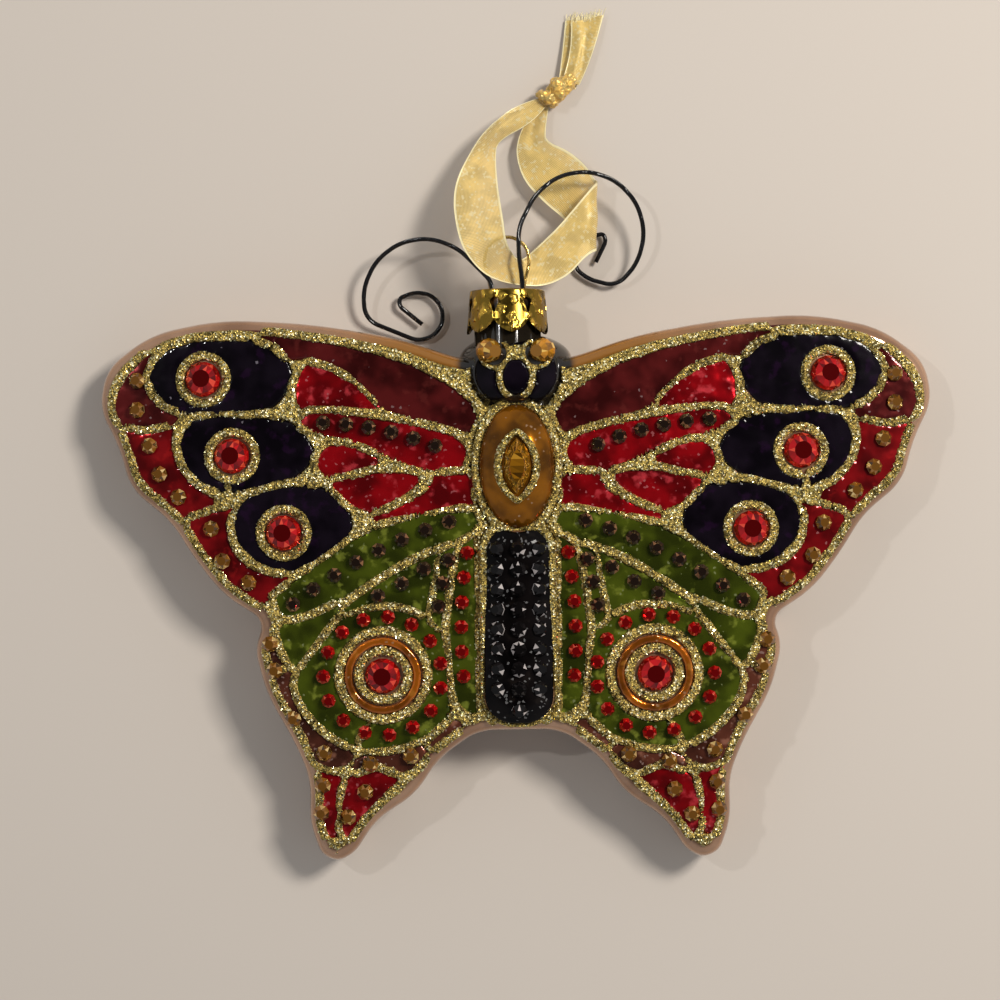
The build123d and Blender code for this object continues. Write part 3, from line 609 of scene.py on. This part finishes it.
def along_spline(name, points, steps):
    """Points along the smooth line that a route's points steer, in metres."""
    curve = bpy.data.curves.new(name, "CURVE")
    curve.dimensions = "3D"
    spline = curve.splines.new("NURBS")
    spline.points.add(len(points) - 1)
    for point, place in zip(spline.points, points):
        point.co = (*(part * MM for part in place), 1)
    spline.order_u = 3
    spline.use_endpoint_u = True
    spline.resolution_u = steps
    holder = put(name, curve)
    mesh = bpy.data.meshes.new_from_object(holder)
    line = [corner.co.copy() for corner in mesh.vertices]
    bpy.data.objects.remove(holder)
    bpy.data.curves.remove(curve)
    bpy.data.meshes.remove(mesh)
    return line


def woven_band(name, edges, lanes, steps, ripple):
    """A strip of cloth between two selvedges, with gentle ripples and the weave's own map."""
    left = along_spline(name, [pair[0] for pair in edges], steps)
    right = along_spline(name, [pair[1] for pair in edges], steps)
    choice = settings("ribbon")
    rows = len(left)
    corners = []
    weave = []
    travelled = 0.0
    for index in range(rows):
        before, after = max(index - 1, 0), min(index + 1, rows - 1)
        across = right[index] - left[index]
        onward = left[after] + right[after] - left[before] - right[before]
        rise = onward.cross(across).normalized()
        if index:
            travelled += ((left[index] + right[index] - left[index - 1] - right[index - 1]) / 2).length
        for lane in range(lanes + 1):
            share = lane / lanes
            wave = math.sin(TURN * share * RIPPLES + travelled / RIPPLE_PITCH) * math.sin(math.pi * share)
            corners.append(left[index] + across * share + rise * (ripple * wave))
            weave.append((share, travelled / choice.width))
    faces = []
    for row in range(rows - 1):
        for lane in range(lanes):
            here = row * (lanes + 1) + lane
            there = here + lanes + 1
            faces.append((here, here + 1, there + 1, there))
    mesh = bpy.data.meshes.new(name)
    mesh.from_pydata(corners, [], faces)
    layer = mesh.uv_layers.new(name="weave")
    for loop in mesh.loops:
        layer.data[loop.index].uv = weave[loop.vertex_index]
    piece = put(name, mesh)
    modify(piece, "SOLIDIFY", thickness=choice.sheet, offset=0)
    smooth(piece, CLOTH_CREASE)
    return piece


def frayed_end(name, left, right, seed):
    """Loose threads along the cut end of a tail."""
    draw = random.Random(seed)
    first, last = Vector(left) * MM, Vector(right) * MM
    threads = bpy.data.curves.new(name, "CURVE")
    threads.dimensions = "3D"
    threads.bevel_depth = FRAY_RADIUS
    threads.bevel_resolution = 0
    for index in range(FRAY_THREADS):
        start = first.lerp(last, (index + draw.random()) / FRAY_THREADS)
        reach = draw.uniform(*FRAY_REACH) * MM
        lean = Vector((draw.uniform(*FRAY_SIDEWAYS), 0, draw.uniform(*FRAY_LIFT)))
        spline = threads.splines.new("POLY")
        spline.points.add(len(FRAY_BENDS) - 1)
        for point, share in zip(spline.points, FRAY_BENDS):
            place = start + (FRAY_ONWARD + lean * max(share, 0)) * (reach * share)
            point.co = (*place, 1)
    piece = put(name, threads)
    only(piece)
    bpy.ops.object.convert(target="MESH")
    layer = piece.data.uv_layers.get("weave") or piece.data.uv_layers.new(name="weave")
    for corner in layer.data:
        corner.uv = (0, 0)
    return piece


def tied_knot(name):
    """The drawn-out knot: a slanting wad with two turns of cloth round its lower end, pleated all over."""
    bpy.ops.mesh.primitive_uv_sphere_add(
        segments=32, ring_count=16, radius=1, location=KNOT_PLACE, rotation=(0, 0, KNOT_SLANT),
        scale=KNOT_SIZE)
    wad = bpy.context.active_object
    turns = []
    for place, tilt in KNOT_TURNS:
        bpy.ops.mesh.primitive_torus_add(
            major_segments=40, minor_segments=12, location=place,
            rotation=(0, math.pi / 2, KNOT_SLANT + tilt), major_radius=KNOT_TURN_RADIUS,
            minor_radius=KNOT_TURN_THICKNESS)
        turns.append(bpy.context.active_object)
    only(wad, *turns)
    bpy.ops.object.join()
    bpy.ops.object.transform_apply(location=True, rotation=True, scale=True)
    wad.name = name
    modify(wad, "REMESH", mode="VOXEL", voxel_size=KNOT_GRAIN)
    pleats = bpy.data.textures.new("pleats", "WOOD")
    pleats.wood_type = "BANDNOISE"
    pleats.noise_scale = PLEAT_PITCH
    pleats.turbulence = PLEAT_TWIST
    modify(wad, "DISPLACE", texture=pleats, texture_coords="LOCAL", strength=PLEAT_DEPTH,
           mid_level=PLEAT_MIDDLE)
    modify(wad, "SMOOTH", factor=0.5, iterations=ROUNDING)
    smooth(wad, ALL_EDGES)
    return wad


class ORNAMENT_OT_ribbon(bpy.types.Operator):
    """Organza loop, its knot and the cut tails"""
    bl_idname = "ornament.ribbon"
    bl_label = "Ribbon"

    def execute(self, context):
        cloth = organza()
        choice = settings("ribbon")
        loop = woven_band("ribbon_cloth", RIBBON_EDGES, *LOOP_CLOTH)
        finish(loop, "cap", cloth, "gold_organza", "ribbon_loop")
        tails = [woven_band(f"ribbon_tail_{index}", edges, *TAIL_CLOTH)
                 for index, edges in enumerate(TAIL_EDGES)]
        tails += [frayed_end(f"ribbon_fray_{index}", *edges[-1], index)
                  for index, edges in enumerate(TAIL_EDGES)]
        only(*tails)
        bpy.ops.object.join()
        tail = finish(tails[0], "cap", cloth, "gold_organza", "ribbon_tails")
        tail.name = "ribbon_cut_tails"
        knot = tied_knot("ribbon_tied_knot")
        finish(knot, "cap", knot_cloth(), "gold_organza", "ribbon_knot")
        middle = [[(left + right) / 2 for left, right in zip(*pair)] for pair in RIBBON_EDGES]
        path = along_spline("ribbon_middle", middle, LOOP_CLOTH[1])
        return {"FINISHED"}


# Glass, lacquer and glitter

class ORNAMENT_OT_glass(bpy.types.Operator):
    """Blown glass body"""
    bl_idname = "ornament.glass"
    bl_label = "Glass"

    def execute(self, context):
        shell = node_copy("glass_shell", "lustred_shell")
        smooth(shell, SHELL_CREASE)
        finish(shell, "glass", lustre_glass(), "lustre_glass", "glass_shell")
        return {"FINISHED"}


def pool(node, name, depth, grain):
    """A coating as a rounded pool that runs down into the glass under it."""
    piece = node_copy(node, name)
    edit(piece, lambda face: face.normal.z < LOOKS_DOWN)
    bpy.ops.transform.translate(value=(0, 0, -depth))
    leave_edit()
    modify(piece, "REMESH", mode="VOXEL", voxel_size=grain)
    modify(piece, "SMOOTH", factor=0.5, iterations=ROUNDING)
    smooth(piece, ALL_EDGES)
    return piece


def spread(piece, reach):
    """Lets a pool of lacquer run out sideways under the glitter round it."""
    outward = [Vector((corner.normal.x, corner.normal.y, 0)) for corner in piece.data.vertices]
    for corner, way in zip(piece.data.vertices, outward):
        corner.co += way * reach


def even_out(piece, width, swell, most):
    """Draws the sides of glitter lines towards a width: in where they are wider, out a little where not."""
    corners = [corner.co.copy() for corner in piece.data.vertices]
    sides = [face.vertices[:] for face in piece.data.polygons if abs(face.normal.z) < WALL]
    walls = BVHTree.FromPolygons(corners, sides)
    for corner in piece.data.vertices:
        side, outward, _, gap = walls.find_nearest(corners[corner.index])
        inward = Vector((-outward.x, -outward.y, 0)).normalized()
        across = walls.ray_cast(side + inward * STEP_INSIDE * MM, inward)[3]
        if across is None:
            continue
        draw = min(max(across - width, -swell) / 2, most)
        corner.co += inward * draw * max(1 - gap / (across / 2), 0)


class ORNAMENT_OT_lacquer(bpy.types.Operator):
    """Pools of coloured lacquer in the wing cells and on the body"""
    bl_idname = "ornament.lacquer"
    bl_label = "Lacquer"

    def execute(self, context):
        choice = settings("lacquer")
        black, violet = tuple(choice.black), tuple(choice.violet)
        # Each coat: node, slot, colour, painted sheen colour, share of painted sheen streaks (which also
        # deepens the bump), share of painted flake glints, metallic and specular
        coats = [
            Coat("enamel_maroon", "maroon_enamel", choice.maroon, (0.2, 0.03, 0.025), 0.3, 0.006, 0.3, 0.15),
            Coat("enamel_red", "red_enamel", choice.red, (0.95, 0.07, 0.09), 0.8, 0.02, 0.6, 0.35),
            Coat("enamel_black", "black_enamel", black, violet, 0.14, 0.001, 0.0, 0.12),
            Coat("enamel_dark_red", "dark_red_enamel", choice.dark_red, (0.5, 0.015, 0.015),
                 0.35, 0.004, 0.4, 0.2),
            Coat("enamel_green", "green_enamel", choice.green, (0.42, 0.48, 0.06), 0.7, 0.012, 0.6, 0.3),
            Coat("enamel_brown", "brown_enamel", choice.brown, (0.45, 0.19, 0.12), 0.7, 0.03, 0.45, 0.5),
            Coat("amber_rings", "amber_lacquer", choice.amber, (0.75, 0.3, 0.04), 0.6, 0.02, 0.6, 0.3),
            Coat("thorax_lacquer", "thorax_lacquer", choice.thorax, (0.5, 0.2, 0.012),
                 0.15, 0.01, 0.7, 0.08),
            Coat("abdomen_lacquer", "black_lacquer", (0.004, 0.003, 0.003), (0.02, 0.015, 0.012),
                 0.3, 0.04, 0.0, 0.05),
            Coat("head_lacquer", "black_lacquer", black, dimmed(black, 2), 0.2, 0.002, 0.0, 0.05),
        ]
        for coat in coats:
            piece = pool(coat.node, "pool_" + coat.node, choice.pool, choice.grain)
            if coat.node.startswith("enamel") or coat.node == "abdomen_lacquer":
                spread(piece, choice.run)
            finish(piece, "glass", lacquer(coat), coat.slot, coat.node)
        return {"FINISHED"}


def scatter(piece, name, size, density, seed):
    """Flakes strewn over the upper faces of a piece, as one mesh."""
    flakes = put(name, piece.data.copy())
    tree = bpy.data.node_groups.new(name, "GeometryNodeTree")
    tree.interface.new_socket("Geometry", in_out="INPUT", socket_type="NodeSocketGeometry")
    tree.interface.new_socket("Geometry", in_out="OUTPUT", socket_type="NodeSocketGeometry")
    add = tree.nodes.new
    start, end = add("NodeGroupInput"), add("NodeGroupOutput")
    strewn = add("GeometryNodeDistributePointsOnFaces")
    strewn.inputs["Density"].default_value = density / MM ** 2
    strewn.inputs["Seed"].default_value = seed
    facing = add("GeometryNodeInputNormal")
    upward = add("ShaderNodeSeparateXYZ")
    chosen = add("FunctionNodeCompare")
    chosen.inputs["B"].default_value = LOOKS_UP
    flake = add("GeometryNodeMeshCube")
    flake.inputs["Size"].default_value = tuple(part * size for part in FLAKE_SHAPE)
    turn, grow = add("FunctionNodeRandomValue"), add("FunctionNodeRandomValue")
    turn.data_type = "FLOAT_VECTOR"
    turn.inputs["Max"].default_value = (TURN, TURN, TURN)
    grow.inputs[2].default_value = FLAKE_LEAST
    grow.inputs[3].default_value = FLAKE_MOST
    settled, real = add("GeometryNodeInstanceOnPoints"), add("GeometryNodeRealizeInstances")
    for source, target in (
            (start.outputs[0], strewn.inputs["Mesh"]),
            (facing.outputs[0], upward.inputs[0]),
            (upward.outputs["Z"], chosen.inputs["A"]),
            (chosen.outputs[0], strewn.inputs["Selection"]),
            (strewn.outputs["Points"], settled.inputs["Points"]),
            (flake.outputs["Mesh"], settled.inputs["Instance"]),
            (turn.outputs[0], settled.inputs["Rotation"]),
            (grow.outputs[1], settled.inputs["Scale"]),
            (settled.outputs[0], real.inputs[0]),
            (real.outputs[0], end.inputs[0])):
        tree.links.new(source, target)
    modify(flakes, "NODES", node_group=tree)
    return flakes


class ORNAMENT_OT_glitter(bpy.types.Operator):
    """Granular gold lines and bands with loose flakes on them"""
    bl_idname = "ornament.glitter"
    bl_label = "Glitter"

    def execute(self, context):
        choice = settings("glitter")
        bed, foil = glitter_bed(), glitter_flake()
        lumps = bpy.data.textures.new("lumps", "CLOUDS")
        lumps.noise_scale = LUMP_PITCH
        for seed, node in enumerate(("glitter_lines", "glitter_bands", "glitter_face")):
            piece = pool(node, node + "_bed", settings("lacquer").pool, choice.grain)
            if node == "glitter_lines":
                even_out(piece, choice.line, choice.swell, settings("lacquer").run)
            modify(piece, "DISPLACE", texture=lumps, texture_coords="LOCAL", strength=choice.roughness,
                   mid_level=LUMP_MIDDLE)
            finish(piece, "glass", bed, "gold_glitter", node)
            flakes = scatter(piece, node + "_flakes", choice.flake_size, choice.density, seed)
            finish(flakes, "glass", foil, "gold_glitter")
        return {"FINISHED"}


# Stones, cap and wires

def cut_stone(name, sides, tiers):
    """A flat-back stone of radius 1: an upright girdle, then tiers of facets up to the table."""
    bpy.ops.object.select_all(action="DESELECT")
    bpy.ops.mesh.primitive_cylinder_add(
        vertices=sides, radius=1, depth=GIRDLE, location=(0, 0, GIRDLE / 2))
    stone = bpy.context.active_object
    stone.name = name
    bpy.ops.object.transform_apply(location=True)
    reach = 1
    for rise, radius in tiers:
        edit(stone, lambda face: face.normal.z > 0.99)
        bpy.ops.mesh.extrude_region_move(TRANSFORM_OT_translate={"value": (0, 0, rise)})
        bpy.ops.transform.resize(value=(radius / reach, radius / reach, 1))
        bpy.ops.transform.rotate(value=math.pi / sides, orient_axis="Z", center_override=(0, 0, 0))
        leave_edit()
        reach = radius
    edit(stone, lambda face: 0.05 < face.normal.z < 0.95)
    bpy.ops.mesh.quads_convert_to_tris(quad_method="SHORTEST_DIAGONAL")
    bpy.ops.mesh.select_all(action="SELECT")
    bpy.context.scene.cursor.location = FACETS_FROM
    bpy.ops.mesh.sort_elements(type="CURSOR_DISTANCE", elements={"VERT", "EDGE", "FACE"})
    leave_edit()
    return stone


def set_stones(node, name, pattern):
    """A cut stone on each seat of a packed set, as one piece."""
    blanks = node_copy(node, name)
    edit(blanks, lambda face: True)
    bpy.ops.mesh.separate(type="LOOSE")
    leave_edit()
    placed = []
    for blank in list(bpy.context.selected_objects):
        up = max(blank.data.polygons, key=lambda face: face.normal.z).normal.copy()
        corners = [corner.co.copy() for corner in blank.data.vertices]
        middle = sum(corners, Vector()) / len(corners)
        heights = [(corner - middle).dot(up) for corner in corners]
        reach = max((corner - middle - up * height).length for corner, height in zip(corners, heights))
        stone = put(name, pattern.data.copy())
        size = Matrix.Diagonal((reach, reach, max(heights) - min(heights), 1))
        turn = up.to_track_quat("Z", "Y").to_matrix().to_4x4()
        stone.data.transform(Matrix.Translation(middle + up * min(heights)) @ turn @ size)
        placed.append(stone)
        bpy.data.objects.remove(blank)
    only(*placed)
    bpy.ops.object.join()
    placed[0].name = name
    return placed[0]


def paint_facet_reflections(piece, table):
    """Paints each facet its own brightness as a painted reflection, and the table the one stated."""
    layer = piece.data.attributes.new("facet", "FLOAT", "FACE")
    for face, mark in zip(piece.data.polygons, layer.data):
        own = DIMMEST_PAINTED_FACET + (1 - DIMMEST_PAINTED_FACET) * (face.index * GOLDEN_SHARE % 1)
        mark.value = table if len(face.vertices) > 4 else own


class ORNAMENT_OT_stones(bpy.types.Operator):
    """Cut flat-back stones on the wings and body"""
    bl_idname = "ornament.stones"
    bl_label = "Stones"

    def execute(self, context):
        choice = settings("stones")
        large = cut_stone("large_stone", choice.sides, LARGE_TIERS)
        small = cut_stone("small_stone", choice.small_sides, SMALL_TIERS)
        eye, navette = dimmed(choice.amber, 0.8), dimmed(choice.amber, 0.5)
        # Each set: node, cut pattern, slot, colour, painted brightness of the table and of the darkest
        # facets, painted glint colour, metallic and gloss
        sets = [
            StoneSet("ruby_stones", large, "ruby_stone", choice.ruby, 0.3, 0.2, (1.0, 0.1, 0.05), 0.5, 0.3),
            StoneSet("ruby_beads", small, "ruby_stone", choice.ruby, 0.4, 0.25, (1.0, 0.14, 0.1), 0.5, 0.3),
            StoneSet("smoke_stones", small, "smoke_stone", choice.smoke, 0.3, 0.3, (0.35, 0.16, 0.08),
                     0.2, 0.4),
            StoneSet("topaz_stones", small, "topaz_stone", choice.topaz, 0.6, 0.12, (1.0, 0.72, 0.3),
                     0.5, 0.6),
            StoneSet("jet_stones", small, "jet_stone", choice.jet, 0.3, 0.5, (0.6, 0.54, 0.52), 0.0, 0.14),
            StoneSet("eye_stones", large, "amber_stone", eye, 0.5, 0.2, (1.0, 0.66, 0.16), 0.5, 0.5),
            StoneSet("navette_stone", None, "amber_stone", navette, 0.2, 0.15, (0.8, 0.4, 0.04), 0.5, 0.4),
        ]
        for stones in sets:
            name = "cut_" + stones.node
            if stones.pattern:
                piece = set_stones(stones.node, name, stones.pattern)
            else:
                piece = node_copy(stones.node, name)
            paint_facet_reflections(piece, stones.table)
            finish(piece, "glass", stone_finish(stones), stones.slot, stones.node)
        bpy.data.objects.remove(large)
        bpy.data.objects.remove(small)
        return {"FINISHED"}


class ORNAMENT_OT_metal(bpy.types.Operator):
    """Stamped cap, hanger wire and antennae"""
    bl_idname = "ornament.metal"
    bl_label = "Cap and wires"

    def execute(self, context):
        cap = node_copy("crown_cap", "stamped_cap")
        smooth(cap, CAP_CREASE)
        finish(cap, "cap", cap_metal(), "cap_metal", "crown_cap")
        ring = node_copy("hanger_wire", "drawn_hanger")
        smooth(ring, WIRE_CREASE)
        finish(ring, "hanger", wire_metal(), "hanger_metal", "hanger_wire")
        black = antenna_black()
        for side in ("left", "right"):
            feeler = node_copy("antenna_" + side, "curled_antenna_" + side)
            smooth(feeler, WIRE_CREASE)
            finish(feeler, "cap", black, "antenna_black", "antenna_" + side)
        return {"FINISHED"}


# Stage

def lamp(name, side, level, size, tint):
    """A square lamp that faces the ornament from one side."""
    bpy.ops.object.light_add(type="AREA", location=VIEW_MIDDLE + side * LAMP_DISTANCE)
    made = bpy.context.active_object
    made.name = name
    made.data.energy = level
    made.data.size = size
    made.data.color = tint
    made.rotation_euler = side.to_track_quat("Z", "Y").to_euler()


def surroundings(sky, level):
    """Soft light from all round, dimmer straight above."""
    world = bpy.data.worlds.new("surroundings")
    around = Paint("surroundings", world)
    height = around.axis(around.node("ShaderNodeTexCoord", output="Generated"), "Z")
    strength = around.ramp(height, SKY_OVERHEAD, SKY_ASIDE) * ((1 - SKY_LEAST) * level) + SKY_LEAST * level
    light = around.tree.nodes["Background"]
    light.inputs["Color"].default_value = (*sky, 1)
    around.tree.links.new(strength.socket, light.inputs["Strength"])
    return world


class ORNAMENT_OT_stage(bpy.types.Operator):
    """Pale floor, lamps and the camera"""
    bl_idname = "ornament.stage"
    bl_label = "Stage"

    def execute(self, context):
        choice = settings("stage")
        scene = context.scene
        scene.view_settings.view_transform = "Standard"
        bpy.ops.object.select_all(action="DESELECT")
        bpy.ops.mesh.primitive_plane_add(size=FLOOR_SIZE, location=(0, 0, -FLOOR_DROP))
        floor = context.active_object
        floor.name = "floor"
        bpy.ops.object.transform_apply(location=True)
        paint = Paint("pale_floor")
        floor.data.materials.append(paint.surface(Base_Color=tuple(choice.floor), Roughness=0.85))

        scene.world = surroundings(choice.sky, choice.sky_level)
        lamp("key_lamp", KEY_SIDE, choice.key_level, KEY_SIZE, KEY_TINT)
        lamp("glint_lamp", GLINT_SIDE, choice.glint_level, GLINT_SIZE, WHITE)

        bpy.ops.object.camera_add(location=VIEW_MIDDLE + Vector((0, 0, choice.distance)))
        camera = context.active_object
        camera.name = "photo_camera"
        camera.rotation_euler = (0, 0, CAMERA_ROLL)
        camera.data.lens = camera.data.sensor_width * choice.distance / choice.view_width
        camera.data.clip_start = CLIP_NEAR
        camera.data.clip_end = CLIP_FAR
        scene.camera = camera
        return {"FINISHED"}


class ORNAMENT_PT_panel(bpy.types.Panel):
    """Lists the steps that dress the ornament"""
    bl_label = "Butterfly ornament"
    bl_idname = "ORNAMENT_PT_panel"
    bl_space_type = "VIEW_3D"
    bl_region_type = "UI"
    bl_category = "Ornament"

    def draw(self, context):
        for step in STEPS:
            self.layout.operator(step.bl_idname)
        for name, group in GROUPS.items():
            box = self.layout.box()
            box.label(text=name.capitalize())
            for key in group.__annotations__:
                box.prop(settings(name), key)


GROUPS = {
    "glass": GlassSettings, "lacquer": LacquerSettings, "glitter": GlitterSettings, "stones": StoneSettings,
    "metal": MetalSettings, "ribbon": RibbonSettings, "stage": StageSettings,
}
STEPS = [ORNAMENT_OT_stage, ORNAMENT_OT_ribbon, ORNAMENT_OT_glass, ORNAMENT_OT_lacquer, ORNAMENT_OT_glitter,
         ORNAMENT_OT_stones, ORNAMENT_OT_metal]


def register():
    """Adds the settings, steps and panel."""
    for kind in (*GROUPS.values(), *STEPS, ORNAMENT_PT_panel):
        bpy.utils.register_class(kind)
    for name, group in GROUPS.items():
        setattr(bpy.types.Scene, "ornament_" + name, PointerProperty(type=group))


def unregister():
    """Takes the settings, steps and panel away."""
    for name in GROUPS:
        delattr(bpy.types.Scene, "ornament_" + name)
    for kind in reversed((*GROUPS.values(), *STEPS, ORNAMENT_PT_panel)):
        bpy.utils.unregister_class(kind)


def main():
    """Dresses the ornament."""
    register()
    for step in STEPS:
        group, name = step.bl_idname.split(".")
        getattr(getattr(bpy.ops, group), name)()


if __name__ == "__main__":
    main()
